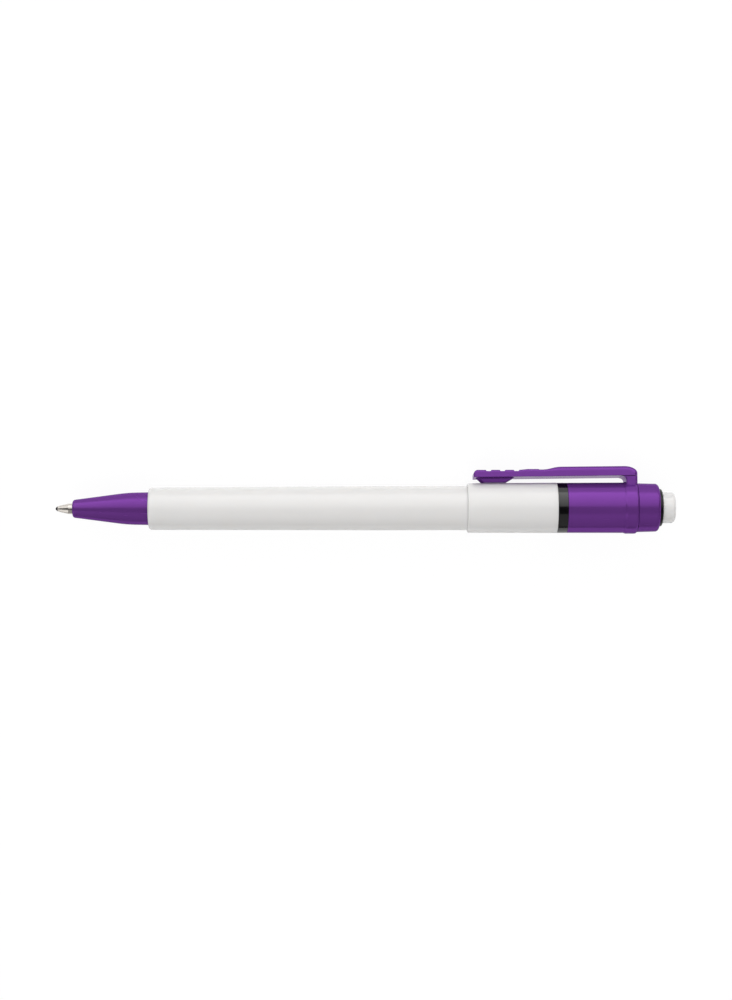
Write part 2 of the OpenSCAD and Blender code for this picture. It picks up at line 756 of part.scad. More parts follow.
nose_cone();
lower_barrel();
upper_barrel();
spacer_ring();
rear_housing();
clip_collar();
clip_arm();
end_cap();
end_bush();
guide_sleeve();
push_button();
plunger();
cam_rotor();
writing_ball();
refill_tip();
tip_holder();
refill_tube();
ink_column();
grease_follower();
return_spring();
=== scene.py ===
import json
import math
import bpy
import bmesh
import numpy as np
from mathutils import Matrix, Vector


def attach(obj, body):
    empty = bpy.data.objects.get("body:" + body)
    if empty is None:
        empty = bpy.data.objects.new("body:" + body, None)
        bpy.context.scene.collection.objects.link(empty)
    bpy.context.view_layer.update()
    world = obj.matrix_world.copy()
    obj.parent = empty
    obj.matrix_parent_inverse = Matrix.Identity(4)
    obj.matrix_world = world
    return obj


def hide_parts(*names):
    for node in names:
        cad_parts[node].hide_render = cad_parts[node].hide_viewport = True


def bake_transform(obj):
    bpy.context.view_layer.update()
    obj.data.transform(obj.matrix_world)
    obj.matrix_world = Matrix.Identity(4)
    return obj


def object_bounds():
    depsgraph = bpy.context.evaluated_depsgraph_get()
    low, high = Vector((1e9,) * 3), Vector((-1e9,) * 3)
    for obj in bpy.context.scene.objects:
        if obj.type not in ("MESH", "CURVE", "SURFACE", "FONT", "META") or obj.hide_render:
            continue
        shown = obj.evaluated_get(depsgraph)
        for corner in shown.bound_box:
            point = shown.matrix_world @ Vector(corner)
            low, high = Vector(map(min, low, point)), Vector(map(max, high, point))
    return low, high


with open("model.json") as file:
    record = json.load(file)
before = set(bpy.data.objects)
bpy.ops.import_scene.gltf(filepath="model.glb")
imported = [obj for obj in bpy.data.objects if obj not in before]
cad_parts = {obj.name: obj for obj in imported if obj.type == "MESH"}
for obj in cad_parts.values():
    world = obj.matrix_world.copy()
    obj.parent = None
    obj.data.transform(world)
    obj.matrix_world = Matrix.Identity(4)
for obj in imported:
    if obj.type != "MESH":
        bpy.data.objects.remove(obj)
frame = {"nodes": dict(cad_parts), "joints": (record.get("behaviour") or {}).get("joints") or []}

cadLow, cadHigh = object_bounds()
scene = bpy.context.scene
scene.view_settings.view_transform = "Standard"
mm = 0.001

# the pen's own axes: along from tip to button, across the clip, and up through the clip
joints = {joint["name"]: joint for joint in frame["joints"]}
along = np.array([1.0, 0.0, 0.0])
across = np.array(joints["clip_flex"]["axis"], float)
across /= np.linalg.norm(across)
clipUp = np.cross(along, across)

# where the outer pieces start and end, in mm from the writing tip
station = {"nose": 3.9, "lowerBarrel": 21.16, "upperBarrel": 93.1, "ring": 113.35, "housing": 115.59,
           "collar": 128.35, "cap": 131.45, "capEnd": 136.34, "bushEnd": 137.08, "buttonEnd": 140.0}
penStart = np.array([cadHigh[0] - station["buttonEnd"] * mm, *joints["rotor_turn"]["pos_m"][1:]])
print("frame: pen starts at", np.round(penStart / mm, 3), "mm")


# pen sizes in mm (x along, y across, z up the clip) to the frame in m: start + x*along + y*across + z*up
def toFrame(x, y, z):
    x, y, z = np.broadcast_arrays(x, y, z)
    points = x[..., None] * along + y[..., None] * across + z[..., None] * clipUp
    return penStart + points * mm


# each grid of points (rows, columns) gets quads between neighbours, round its columns and, where it wraps,
# round its rows. Doubled points are merged, faces point outwards, and bends over the given angle stay sharp
def skin(name, grids, sharpDeg=34.0, mergeWithin=1e-7, flatWithin=1e-8):
    bm = bmesh.new()
    for points, wrapRows in grids:
        rows, columns = points.shape[:2]
        index = np.arange(rows * columns).reshape(rows, columns)
        index = np.concatenate([index, index[:, :1]], axis=1)
        if wrapRows:
            index = np.concatenate([index, index[:1]], axis=0)
        quads = np.stack([index[:-1, :-1], index[1:, :-1], index[1:, 1:], index[:-1, 1:]], axis=-1)
        part = bpy.data.meshes.new("part")
        part.from_pydata(points.reshape(-1, 3), [], quads.reshape(-1, 4))
        one = bmesh.new()
        one.from_mesh(part)
        bmesh.ops.remove_doubles(one, verts=one.verts, dist=mergeWithin)
        bmesh.ops.dissolve_degenerate(one, edges=one.edges, dist=flatWithin)
        bmesh.ops.recalc_face_normals(one, faces=one.faces)
        one.to_mesh(part)
        one.free()
        bm.from_mesh(part)
        bpy.data.meshes.remove(part)
    mesh = bpy.data.meshes.new(name)
    bm.to_mesh(mesh)
    bm.free()
    mesh.polygons.foreach_set("use_smooth", np.ones(len(mesh.polygons), bool))
    mesh.set_sharp_from_angle(angle=math.radians(sharpDeg))
    obj = bpy.data.objects.new(name, mesh)
    scene.collection.objects.link(obj)
    return obj


# corners [x, r, fillet] to a fine outline: each corner becomes an arc of its fillet radius, tangent to both
# sides, with a guard point just outside each end of the arc so that flat stretches shade flat
def filleted(corners, closed=True, steps=10, guard=0.02, leastGap=1e-6):
    corners = np.asarray(corners, float)
    at, radius = corners[:, :2], corners[:, 2]
    before, after = np.roll(at, 1, axis=0), np.roll(at, -1, axis=0)
    if not closed:
        before[0], after[-1] = 2 * at[0] - at[1], 2 * at[-1] - at[-2]
    into = (at - before) / np.linalg.norm(at - before, axis=1, keepdims=True)
    out = (after - at) / np.linalg.norm(after - at, axis=1, keepdims=True)
    turn = np.arctan2(into[:, 0] * out[:, 1] - into[:, 1] * out[:, 0], (into * out).sum(1))
    reach = radius * np.abs(np.tan(turn / 2))
    inward = np.sign(turn)[:, None] * np.stack([-into[:, 1], into[:, 0]], axis=1)
    start = at - into * reach[:, None]
    centre = start + inward * radius[:, None]
    angle = turn[:, None] * np.linspace(0, 1, steps)
    spokeX = inward[:, :1] * np.cos(angle) - inward[:, 1:] * np.sin(angle)
    spokeY = inward[:, :1] * np.sin(angle) + inward[:, 1:] * np.cos(angle)
    arcs = centre[:, None] - radius[:, None, None] * np.stack([spokeX, spokeY], axis=-1)
    step = np.where(radius > 0, guard, 0.0)[:, None]
    lead, trail = (start - into * step)[:, None], (arcs[:, -1] + out * step)[:, None]
    line = np.concatenate([lead, arcs, trail], axis=1).reshape(-1, 2)
    keep = np.linalg.norm(line - np.roll(line, 1, axis=0), axis=1) > leastGap
    keep[0] |= not closed
    return line[keep]


# every outline point (x, r) goes round the axis: (x, r cos a, r sin a)
def spun(outline, sides):
    angle = np.linspace(0, 2 * np.pi, sides, endpoint=False)
    x, r = outline[:, :1], np.maximum(outline[:, 1:], 0)
    return toFrame(x + 0 * angle, r * np.cos(angle), r * np.sin(angle))


def turned(name, outline, closed=True, sides=192):
    return skin(name, [(spun(outline, sides), closed)])


# a row drawn together in its middle goes before the first row and after the last, which closes both ends
def endsClosed(rows):
    ends = rows[[0, -1]]
    middles = ends.mean(1, keepdims=True) + 0 * ends
    return np.concatenate([middles[:1], rows, middles[1:]])


# finish a piece, and let it stand for its node and move with its body
def carry(obj, mat, body, slot, *nodes):
    obj.data.materials.append(mat)
    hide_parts(*nodes)
    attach(obj, body)


# a shader node's socket takes a link or a plain value
def plug(tree, socket, value):
    if isinstance(value, bpy.types.NodeSocket):
        tree.links.new(value, socket)
    else:
        socket.default_value = value


# new shader node with its settings and sockets filled in; gives its outputs
def node(tree, kind, sockets, **settings):
    made = tree.nodes.new("ShaderNode" + kind)
    for key, value in settings.items():
        setattr(made, key, value)
    for key, value in sockets.items():
        plug(tree, made.inputs[key], value)
    return made.outputs


def maths(tree, operation, *values):
    return node(tree, "Math", dict(enumerate(values)), operation=operation)[0]


# value carried from one range to another and held at its ends
def remap(tree, value, source, target=(0.0, 1.0), easing="LINEAR"):
    ends = {"From Min": source[0], "From Max": source[1], "To Min": target[0], "To Max": target[1]}
    return node(tree, "MapRange", {"Value": value, **ends}, interpolation_type=easing)[0]


def noise(tree, place, scale, detail, roughness=0.5, distortion=0.0):
    return node(tree, "TexNoise", {"Vector": place, "Scale": scale, "Detail": detail, "Roughness": roughness,
                                   "Distortion": distortion})[0]


# colour between two, by a share from 0 to 1; the node's colour sockets are numbers 6 and 7
def mixColour(tree, share, first, second):
    return node(tree, "Mix", {0: share, 6: first, 7: second}, data_type="RGBA")[2]


def makeGroup(name, inputs, outputs):
    tree = bpy.data.node_groups.new(name, "ShaderNodeTree")
    kinds = {"vector": "NodeSocketVector", "colour": "NodeSocketColor", "value": "NodeSocketFloat"}
    for label, kind, value in inputs:
        socket = tree.interface.new_socket(name=label, in_out="INPUT", socket_type=kinds[kind])
        if value is not None:
            socket.default_value = value
    for label, kind in outputs:
        tree.interface.new_socket(name=label, in_out="OUTPUT", socket_type=kinds[kind])
    return tree, tree.nodes.new("NodeGroupInput").outputs, tree.nodes.new("NodeGroupOutput").inputs


pigmentLook = {"drawn": (70.0, 260.0, 260.0), "detail": 4.0, "roughness": 0.55, "distortion": 0.6,
               "range": (0.32, 0.68)}


# pigment in moulded plastic: soft streaks drawn out along the flow, colour mixed towards a second shade
def buildPigment(look):
    tree, given, gives = makeGroup(
        "pigmentFlow",
        [("Vector", "vector", None), ("Colour", "colour", None), ("Second", "colour", None),
         ("Amount", "value", 0.5)],
        [("Colour", "colour")])
    drawn = node(tree, "Mapping", {"Vector": given["Vector"], "Scale": look["drawn"]})[0]
    cloud = noise(tree, drawn, 1.0, look["detail"], look["roughness"], look["distortion"])
    share = maths(tree, "MULTIPLY", remap(tree, cloud, look["range"]), given["Amount"])
    plug(tree, gives["Colour"], mixColour(tree, share, given["Colour"], given["Second"]))
    return tree


grainLook = {"detail": 3.0, "roughness": 0.6, "slowScale": 150.0, "slowRange": (0.3, 0.7)}


# moulded skin: fine even grain for the height, and a slow drift of gloss from place to place
def buildSkinGrain(look):
    tree, given, gives = makeGroup(
        "skinGrain",
        [("Vector", "vector", None), ("Gloss", "value", 0.2), ("Drift", "value", 0.04),
         ("Size", "value", 2200.0)],
        [("Roughness", "value"), ("Height", "value")])
    fine = noise(tree, given["Vector"], given["Size"], look["detail"], look["roughness"])
    slow = noise(tree, given["Vector"], look["slowScale"], look["detail"])
    swing = remap(tree, slow, look["slowRange"], (-1.0, 1.0))
    plug(tree, gives["Roughness"], maths(tree, "MULTIPLY_ADD", swing, given["Drift"], given["Gloss"]))
    plug(tree, gives["Height"], fine)
    return tree


hairlineLook = {"turn": (0.0, 0.12, 0.2), "drawn": (130.0, 5200.0, 5200.0), "detail": 1.0,
                "cut": (0.70, 0.80)}


# hairlines from handling: noise stretched along the pen and cut off high, so that only thin streaks stay
def buildHairlines(look):
    tree, given, gives = makeGroup(
        "hairlines",
        [("Vector", "vector", None), ("Amount", "value", 0.5), ("Turn", "vector", look["turn"])],
        [("Mask", "value")])
    laid = node(tree, "Mapping", {"Vector": given["Vector"], "Rotation": given["Turn"],
                                  "Scale": look["drawn"]})[0]
    streak = noise(tree, laid, 1.0, look["detail"])
    plug(tree, gives["Mask"], maths(tree, "MULTIPLY", remap(tree, streak, look["cut"]), given["Amount"]))
    return tree


# turning marks: rings at a fine pitch along the pen, uneven in depth
def buildTurning():
    tree, given, gives = makeGroup(
        "turningMarks",
        [("Vector", "vector", None), ("Rings per metre", "value", 9000.0), ("Gloss", "value", 0.25),
         ("Drift", "value", 0.08)],
        [("Roughness", "value"), ("Height", "value"), ("Tone", "value")])
    place = node(tree, "SeparateXYZ", {"Vector": given["Vector"]})
    lane = maths(tree, "MULTIPLY", place["X"], given["Rings per metre"])
    line = node(tree, "CombineXYZ", {"X": lane})[0]
    rings = noise(tree, line, scale=1.0, detail=2.0)
    plug(tree, gives["Roughness"], maths(tree, "MULTIPLY_ADD", rings, given["Drift"], given["Gloss"]))
    plug(tree, gives["Height"], rings)
    plug(tree, gives["Tone"], rings)
    return tree


pigmentFlow = buildPigment(pigmentLook)
skinGrain = buildSkinGrain(grainLook)
hairlines = buildHairlines(hairlineLook)
turningMarks = buildTurning()


def startMaterial(name):
    mat = bpy.data.materials.new(name)
    mat.use_nodes = True
    tree = mat.node_tree
    tree.nodes.clear()
    shader = tree.nodes.new("ShaderNodeBsdfPrincipled")
    out = tree.nodes.new("ShaderNodeOutputMaterial")
    tree.links.new(shader.outputs[0], out.inputs["Surface"])
    return mat, tree, shader, node(tree, "TexCoord", {})["Object"]


def streakedColour(tree, place, look):
    shades = {"Colour": (*look["colour"], 1), "Second": (*look["second"], 1)}
    return node(tree, "Group", {"Vector": place, **shades, "Amount": look["streaks"]},
                node_tree=pigmentFlow)["Colour"]


# plastic: streaked pigment for the colour, drifting gloss roughened by hairlines, and grain as bump
def plastic(name, look):
    mat, tree, shader, place = startMaterial(name)
    grain = node(tree, "Group", {"Vector": place, "Gloss": look["gloss"], "Drift": look["drift"],
                                 "Size": look["grain"]}, node_tree=skinGrain)
    lines = node(tree, "Group", {"Vector": place, "Amount": look["hairlines"]}, node_tree=hairlines)
    bump = node(tree, "Bump", {"Strength": look["bump"], "Distance": look["bumpDepth"],
                               "Height": grain["Height"]})
    finish = {"Base Color": streakedColour(tree, place, look),
              "Roughness": maths(tree, "ADD", grain["Roughness"], lines["Mask"]),
              "Normal": bump[0],
              "IOR": look["ior"],
              "Metallic": look["metallic"],
              "Specular IOR Level": look["specular"],
              "Specular Tint": (*look["specularTint"], 1),
              "Subsurface Weight": look["subsurface"],
              "Subsurface Radius": look["subsurfaceRadius"],
              "Subsurface Scale": look["subsurfaceScale"]}
    for label, value in finish.items():
        plug(tree, shader.inputs[label], value)
    return mat


# metal: turning marks vary the colour and set gloss and bump, and dried ink fades out between two places
# along the pen
def metal(name, look):
    mat, tree, shader, place = startMaterial(name)
    marks = node(tree, "Group", {"Vector": place, "Rings per metre": look["rings"], "Gloss": look["gloss"],
                                 "Drift": look["drift"]}, node_tree=turningMarks)
    tone = mixColour(tree, marks["Tone"], (*look["colour"], 1), (*look["second"], 1))
    spot = node(tree, "SeparateXYZ", {"Vector": place})
    inkEnds = penStart[0] + np.array(look["inkEnds"]) * mm
    inked = remap(tree, spot["X"], inkEnds, (1.0, 0.0), "SMOOTHSTEP")
    bump = node(tree, "Bump", {"Strength": look["bump"], "Distance": look["bumpDepth"],
                               "Height": marks["Height"]})
    finish = {"Base Color": mixColour(tree, inked, tone, (*look["inkColour"], 1)),
              "Roughness": marks["Roughness"],
              "Normal": bump[0],
              "Metallic": look["metallic"]}
    for label, value in finish.items():
        plug(tree, shader.inputs[label], value)
    return mat


moulded = {"streaks": 0.5, "gloss": 0.21, "drift": 0.025, "grain": 2400.0, "hairlines": 0.05, "bump": 0.12,
           "bumpDepth": 0.000004, "ior": 1.46, "metallic": 0.0, "specular": 1.0,
           "specularTint": (1.0, 1.0, 1.0), "subsurface": 0.0, "subsurfaceRadius": (1.0, 0.95, 0.9),
           "subsurfaceScale": 0.0012}
purpleLook = {**moulded, "colour": (0.194, 0.054, 0.332), "second": (0.181, 0.050, 0.310), "metallic": 0.5,
              "specular": 0.1, "specularTint": (0.40, 0.25, 0.50)}
# nose and cap: a darker copy of the purple, painted shade for the light that falls off towards the pen's ends
endShadedPurpleLook = {**purpleLook, "colour": (0.182, 0.0508, 0.312), "second": (0.170, 0.0470, 0.291),
                  "gloss": 0.25}
whiteLook = {**moulded, "colour": (0.846, 0.835, 0.823), "second": (0.828, 0.817, 0.805), "subsurface": 0.5}
blackLook = {**moulded, "colour": (0.0015, 0.0014, 0.0018), "second": (0.0028, 0.0027, 0.0032), "gloss": 0.16}
bushLook = {**blackLook, "gloss": 0.3, "specular": 0.5}
naturalLook = {**moulded, "colour": (0.70, 0.71, 0.68), "second": (0.62, 0.64, 0.62), "gloss": 0.4}
inkLook = {**moulded, "colour": (0.010, 0.012, 0.10), "second": (0.006, 0.008, 0.06), "gloss": 0.15}
greaseLook = {**moulded, "colour": (0.62, 0.58, 0.45), "second": (0.55, 0.50, 0.36), "gloss": 0.3}
tipLook = {"colour": (0.76, 0.72, 0.67), "second": (0.69, 0.645, 0.59), "metallic": 0.85, "rings": 3500.0,
           "gloss": 0.05, "drift": 0.04, "bump": 0.04, "bumpDepth": 0.000003, "inkEnds": (0.42, 0.62),
           "inkColour": (0.012, 0.010, 0.016)}
ballLook = {**tipLook, "colour": (0.03, 0.03, 0.033), "second": (0.018, 0.018, 0.02), "gloss": 0.22}
wireLook = {**tipLook, "colour": (0.55, 0.55, 0.54), "second": (0.47, 0.47, 0.46), "gloss": 0.22}

purple = plastic("purplePlastic", purpleLook)
# the darker purple is painted shade at the pen's ends, the same plastic as the housing
endShadedPurple = plastic("endShadedPurplePlastic", endShadedPurpleLook)  # nose and cap look a shade darker and duller
white = plastic("whitePlastic", whiteLook)
black = plastic("blackPlastic", blackLook)
dullBlack = plastic("dullBlackPlastic", bushLook)
natural = plastic("naturalPlastic", naturalLook)
ink = plastic("pasteInk", inkLook)
grease = plastic("clearGrease", greaseLook)
tipMetal = metal("turnedTip", tipLook)
ballMetal = metal("carbideBall", ballLook)
wire = metal("springWire", wireLook)
print("materials:", len(bpy.data.materials))

# turned outer pieces: corners as [x, radius, fillet] in mm, along the outside from front to rear, then back
# along the bore

noseCone = {"hole": 1.29, "holeEdge": 0.08, "front": 1.99, "frontRound": 0.6, "knee": (16.35, 3.63),
            "kneeRadius": 38.0, "end": 3.7, "seamRun": 0.3, "spigotEnd": 30.05, "spigotEdge": 0.1,
            "springSeat": 12.5, "springBore": 2.4, "arcSteps": 16}


# the two points beside the seam keep the cone's end straight there
def noseOutline(size):
    front, seam = station["nose"], station["lowerBarrel"]
    return filleted([
        [front, size["front"], size["frontRound"]], [*size["knee"], size["kneeRadius"]],
        [seam - size["seamRun"], size["end"], 0], [seam + size["seamRun"], size["end"], 0],
        [size["spigotEnd"], size["end"], size["spigotEdge"]], [size["spigotEnd"], size["springBore"], 0],
        [size["springSeat"], size["springBore"], 0], [size["springSeat"], size["hole"], 0],
        [front, size["hole"], size["holeEdge"]]], steps=size["arcSteps"])


nose = turned("noseCone", noseOutline(noseCone))
# the nose gets the purple darkened as painted shade
carry(nose, endShadedPurple, "pen_body", "purple_plastic", "nose_cone")

lowerBarrel = {"front": 4.8, "frontRound": 0.68, "straightFrom": 73.05, "straight": 5.0, "rearEdge": 0.04,
               "noseBore": 3.75, "noseBoreEdge": 0.12, "noseSeat": 30.1, "bore": 3.3, "screw": 4.45,
               "screwEnd": 103.1, "screwEdge": 0.1}


def lowerOutline(size):
    front, rear = station["lowerBarrel"], station["upperBarrel"]
    return filleted([
        [front, size["front"], size["frontRound"]], [size["straightFrom"], size["straight"], 0],
        [rear, size["straight"], size["rearEdge"]], [rear, size["screw"], 0],
        [size["screwEnd"], size["screw"], size["screwEdge"]], [size["screwEnd"], size["bore"], 0],
        [size["noseSeat"], size["bore"], 0], [size["noseSeat"], size["noseBore"], 0],
        [front, size["noseBore"], size["noseBoreEdge"]]])


lower = turned("lowerBarrel", lowerOutline(lowerBarrel))
carry(lower, white, "pen_body", "white_plastic", "lower_barrel")

upperBarrel = {"front": 5.6, "frontRound": 0.25, "rear": 5.69, "rearRound": 0.1, "screwBore": 4.5,
               "screwBoreEdge": 0.05, "screwEnd": 103.15, "spigotBore": 4.65}


def upperOutline(size):
    front, rear = station["upperBarrel"], station["ring"]
    return filleted([
        [front, size["front"], size["frontRound"]], [rear, size["rear"], size["rearRound"]],
        [rear, size["spigotBore"], 0], [size["screwEnd"], size["spigotBore"], 0],
        [size["screwEnd"], size["screwBore"], 0], [front, size["screwBore"], size["screwBoreEdge"]]])


upper = turned("upperBarrel", upperOutline(upperBarrel))
carry(upper, white, "pen_body", "white_plastic", "upper_barrel")

spacerRing = {"outside": 5.67, "edge": 0.1, "bore": 4.65}


def ringOutline(size):
    front, rear = station["ring"], station["housing"]
    return filleted([
        [front, size["outside"], size["edge"]], [rear, size["outside"], size["edge"]],
        [rear, size["bore"], 0], [front, size["bore"], 0]])


ring = turned("spacerRing", ringOutline(spacerRing))
carry(ring, black, "pen_body", "black_plastic", "spacer_ring")

rearHousing = {"front": 5.66, "frontEdge": 0.1, "rear": 5.70, "rearEdge": 0.03, "spigot": 4.6,
               "spigotFrom": 106.2, "neck": 4.95, "neckEnd": 133.95, "innerEdge": 0.1, "guideBore": 4.45,
               "guideFrom": 116.45, "rotorRoom": 3.7}


def housingOutline(size):
    front, rear = station["housing"], station["collar"]
    return filleted([
        [size["spigotFrom"], size["spigot"], size["innerEdge"]], [front, size["spigot"], 0],
        [front, size["front"], size["frontEdge"]], [rear, size["rear"], size["rearEdge"]],
        [rear, size["neck"], 0], [size["neckEnd"], size["neck"], size["innerEdge"]],
        [size["neckEnd"], size["guideBore"], 0], [size["guideFrom"], size["guideBore"], 0],
        [size["guideFrom"], size["rotorRoom"], 0], [size["spigotFrom"], size["rotorRoom"], 0]])


housing = turned("rearHousing", housingOutline(rearHousing))
carry(housing, purple, "pen_body", "purple_plastic", "rear_housing")

endCap = {"front": 5.52, "frontRound": 0.05, "rear": 5.40, "rearRound": 0.85, "rim": 4.42, "rimEdge": 0.05,
          "hole": 4.3, "wallFrom": 134.3, "socket": 5.0}


def capOutline(size):
    front, rear = station["cap"], station["capEnd"]
    return filleted([
        [front, size["front"], size["frontRound"]], [rear, size["rear"], size["rearRound"]],
        [rear, size["rim"], size["rimEdge"]], [rear, size["hole"], 0], [size["wallFrom"], size["hole"], 0],
        [size["wallFrom"], size["socket"], 0], [front, size["socket"], 0]])


cap = turned("endCap", capOutline(endCap))
# the cap gets the purple darkened as painted shade
carry(cap, endShadedPurple, "pen_body", "purple_plastic", "end_cap")

endBush = {"outside": 4.25, "rim": 0.4, "flange": 4.4, "flangeFrom": 132.95, "flangeTo": 134.25, "bore": 3.58,
           "boreEdge": 0.08}


def bushOutline(size):
    rear = station["bushEnd"]
    return filleted([
        [size["flangeFrom"], size["flange"], 0], [size["flangeTo"], size["flange"], 0],
        [size["flangeTo"], size["outside"], 0], [rear, size["outside"], size["rim"]],
        [rear, size["bore"], size["boreEdge"]], [size["flangeFrom"], size["bore"], 0]])


bush = turned("endBush", bushOutline(endBush))
carry(bush, dullBlack, "pen_body", "black_plastic", "end_bush")

pushButton = {"outside": 3.5, "endRound": 0.9, "skirtFrom": 130.6, "skirtEdge": 0.1, "socket": 2.55,
              "socketEnd": 138.5}


# starts and ends on the axis, so it closes there by itself
def buttonOutline(size):
    rear = station["buttonEnd"]
    return filleted([
        [rear, 0, 0], [rear, size["outside"], size["endRound"]],
        [size["skirtFrom"], size["outside"], size["skirtEdge"]], [size["skirtFrom"], size["socket"], 0],
        [size["socketEnd"], size["socket"], 0], [size["socketEnd"], 0, 0]], closed=False)


button = turned("pushButton", buttonOutline(pushButton), closed=False)
carry(button, white, "button", "white_plastic", "push_button")
print("turned pieces done")

# refill tip: lip, crimped front, cone and straight stretch outside, and the ball's socket inside as an arc
# round the ball's middle

refillTip = {"lip": (0.3, 0.475), "lipEdge": 0.02, "crimp": (1.0, 0.745), "crimpRound": 0.6, "coneEnd": 3.0,
             "coneRound": 0.3, "outside": 1.21, "holderFrom": 13.9, "stem": 0.85, "stemEnd": 17.9,
             "rearEdge": 0.05, "channel": 0.3, "ballMiddle": 0.4, "socket": 0.415, "socketSteps": 16,
             "guard": 0.005, "sides": 96}


def tipOutline(size):
    outer = filleted([
        [*size["lip"], size["lipEdge"]], [*size["crimp"], size["crimpRound"]],
        [size["coneEnd"], size["outside"], size["coneRound"]],
        [size["holderFrom"], size["outside"], size["rearEdge"]], [size["holderFrom"], size["stem"], 0],
        [size["stemEnd"], size["stem"], size["rearEdge"]], [size["stemEnd"], size["channel"], 0]],
        closed=False, guard=size["guard"])
    back = math.asin(size["channel"] / size["socket"])
    front = math.acos((size["lip"][0] - size["ballMiddle"]) / size["socket"])
    angle = np.linspace(back, front, size["socketSteps"])
    inner = np.stack([np.cos(angle), np.sin(angle)], axis=1) * size["socket"] + [size["ballMiddle"], 0]
    return np.concatenate([outer, inner])


tip = turned("refillTip", tipOutline(refillTip), sides=refillTip["sides"])
carry(tip, tipMetal, "refill", "tip_metal", "refill_tip")

# return spring: a round wire carried along a helix, x rising slowly in the end turns and evenly between them

returnSpring = {"from": 12.75, "length": 16.5, "radius": 2.0, "wire": 0.2, "turns": 10, "endPitch": 0.9}


def springGrid(size, perTurn=28, sides=12):
    turns = np.linspace(0, size["turns"], size["turns"] * perTurn + 1)
    x = size["from"] + np.interp(turns, [0, 1, size["turns"] - 1, size["turns"]],
                                 [0, size["endPitch"], size["length"] - size["endPitch"], size["length"]])
    wind, ringAngle = 2 * np.pi * turns[:, None], np.linspace(0, 2 * np.pi, sides, endpoint=False)
    r = size["radius"] + size["wire"] * np.cos(ringAngle)
    tube = toFrame(x[:, None] + size["wire"] * np.sin(ringAngle), r * np.cos(wind), r * np.sin(wind))
    return endsClosed(tube)


spring = skin("returnSpring", [(springGrid(returnSpring), False)])
spring.data.materials.append(wire)
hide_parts("return_spring")
seatX = returnSpring["from"] + returnSpring["endPitch"]
pushX = returnSpring["from"] + returnSpring["length"] - returnSpring["endPitch"]
seat, push = toFrame(np.array([seatX, pushX]), 0, 0)
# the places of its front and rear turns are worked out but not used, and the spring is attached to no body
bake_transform(spring)
print("refill tip and spring done")

# clip collar: a turned ring, and a post whose plan is a rounded rectangle that widens forwards into a fillet
# below the arm

clipCollar = {"outside": 5.884, "frontStep": 5.71, "frontRun": 0.45, "frontRound": 0.7, "rearRound": 0.65,
              "bore": 5.0, "sides": 192, "postFrom": 128.85, "postTo": 131.43, "postTop": 7.0,
              "postTopRear": 6.95, "fillet": 1.0, "halfWidth": 3.2, "postRear": 0.8, "postFront": 0.3,
              "foot": 5.35}


def collarOutline(size):
    front, rear = station["collar"], station["cap"]
    return filleted([
        [front, size["frontStep"], 0], [front + size["frontRun"], size["outside"], size["frontRound"]],
        [rear, size["outside"], size["rearRound"]], [rear, size["bore"], 0], [front, size["bore"], 0]])


# post: for each height the front edge is straight, or curves forwards by f - sqrt(f^2 - h^2) inside the
# fillet, and the top falls a little to the rear, so that the arm can rock on it
def postGrid(size, levels=40, cornerSteps=9):
    quarter = np.linspace(0, np.pi / 2, cornerSteps)
    half, rear, front = size["halfWidth"], size["postRear"], size["postFront"]
    rearX, rearY = -rear + rear * np.sin(quarter), half - rear + rear * np.cos(quarter)
    frontX, frontY = front - front * np.cos(quarter), half - front + front * np.sin(quarter)
    isRear = np.repeat([False, True, False], [cornerSteps, 2 * cornerSteps, cornerSteps])
    offset = np.concatenate([frontX, rearX, rearX[::-1], frontX[::-1]])
    y = np.concatenate([frontY, rearY, -rearY[::-1], -frontY[::-1]])
    foot = np.sqrt(size["foot"] ** 2 - y ** 2)
    top = np.where(isRear, size["postTopRear"], size["postTop"])
    z = foot + (top - foot) * np.linspace(0, 1, levels)[:, None]
    rise = np.clip(z - (size["postTop"] - size["fillet"]), 0, size["fillet"])
    frontEdge = size["postFrom"] - size["fillet"] + np.sqrt(size["fillet"] ** 2 - rise ** 2)
    x = np.where(isRear, size["postTo"], frontEdge) + offset
    return endsClosed(toFrame(x, y + 0 * x, z))


collarRing = spun(collarOutline(clipCollar), clipCollar["sides"])
collar = skin("clipCollar", [(collarRing, True), (postGrid(clipCollar), False)])
carry(collar, purple, "pen_body", "purple_plastic", "clip_collar")

# clip arm: a section with rounded edges carried along the arm's upper outline, from the front edge over the
# top and down the rear. A point at inset d lies d inside the outline along its normal, so edges round evenly
# all the way. flatPlaces are columns between the rounded edge and the middle, each as a share of the flat's
# half width and a step from there

clipArm = {"front": 94.5, "underFront": 6.72, "underRear": 7.05, "underBend": 127.85, "rear": 131.45,
           "topFront": 8.40, "topRear": 9.07, "rearRise": 0.12, "noseRound": 0.95, "ramp": (110.8, 113.4),
           "rampBlend": 0.9, "cornerLen": 2.9, "cornerHigh": 1.6, "halfWidth": 3.2, "roundFront": 0.5,
           "roundRear": 1.0, "underRound": 0.1, "draft": 0.04, "grooves": (97.85, 101.0, 104.15),
           "grooveWide": 1.35, "grooveFloor": 0.85, "grooveDeep": 0.31,
           "land": (104.95, 106.6, 109.1, 109.35), "landHigh": (0.0, 0.17, 0.17, 0.06), "edgeSteps": 14,
           "sideTop": 0.95, "guardLift": 1.3, "liftShare": 0.25,
           "flatPlaces": ((1.0, -0.03), (1.0, -0.3), (0.5, 0.0), (0.05, 0.0))}
# points along each stretch of the outline, how far the finer ones reach, and gaps between the stretches
armSteps = {"upright": 12, "nose": 24, "top": 180, "corner": 32, "groove": (0.75, 61), "land": (0.2, 17),
            "ramp": (1.0, 60), "uprightGap": 0.02, "noseGap": 0.03, "cornerGap": 0.05}
clipPad = {"from": 95.05, "to": 103.8, "frontRun": 1.3, "rearRun": 2.2, "low": 5.5, "saddle": 5.76,
           "halfWidth": 1.2, "round": 0.12, "bevel": 0.5, "keel": 0.1, "intoArm": 0.3}


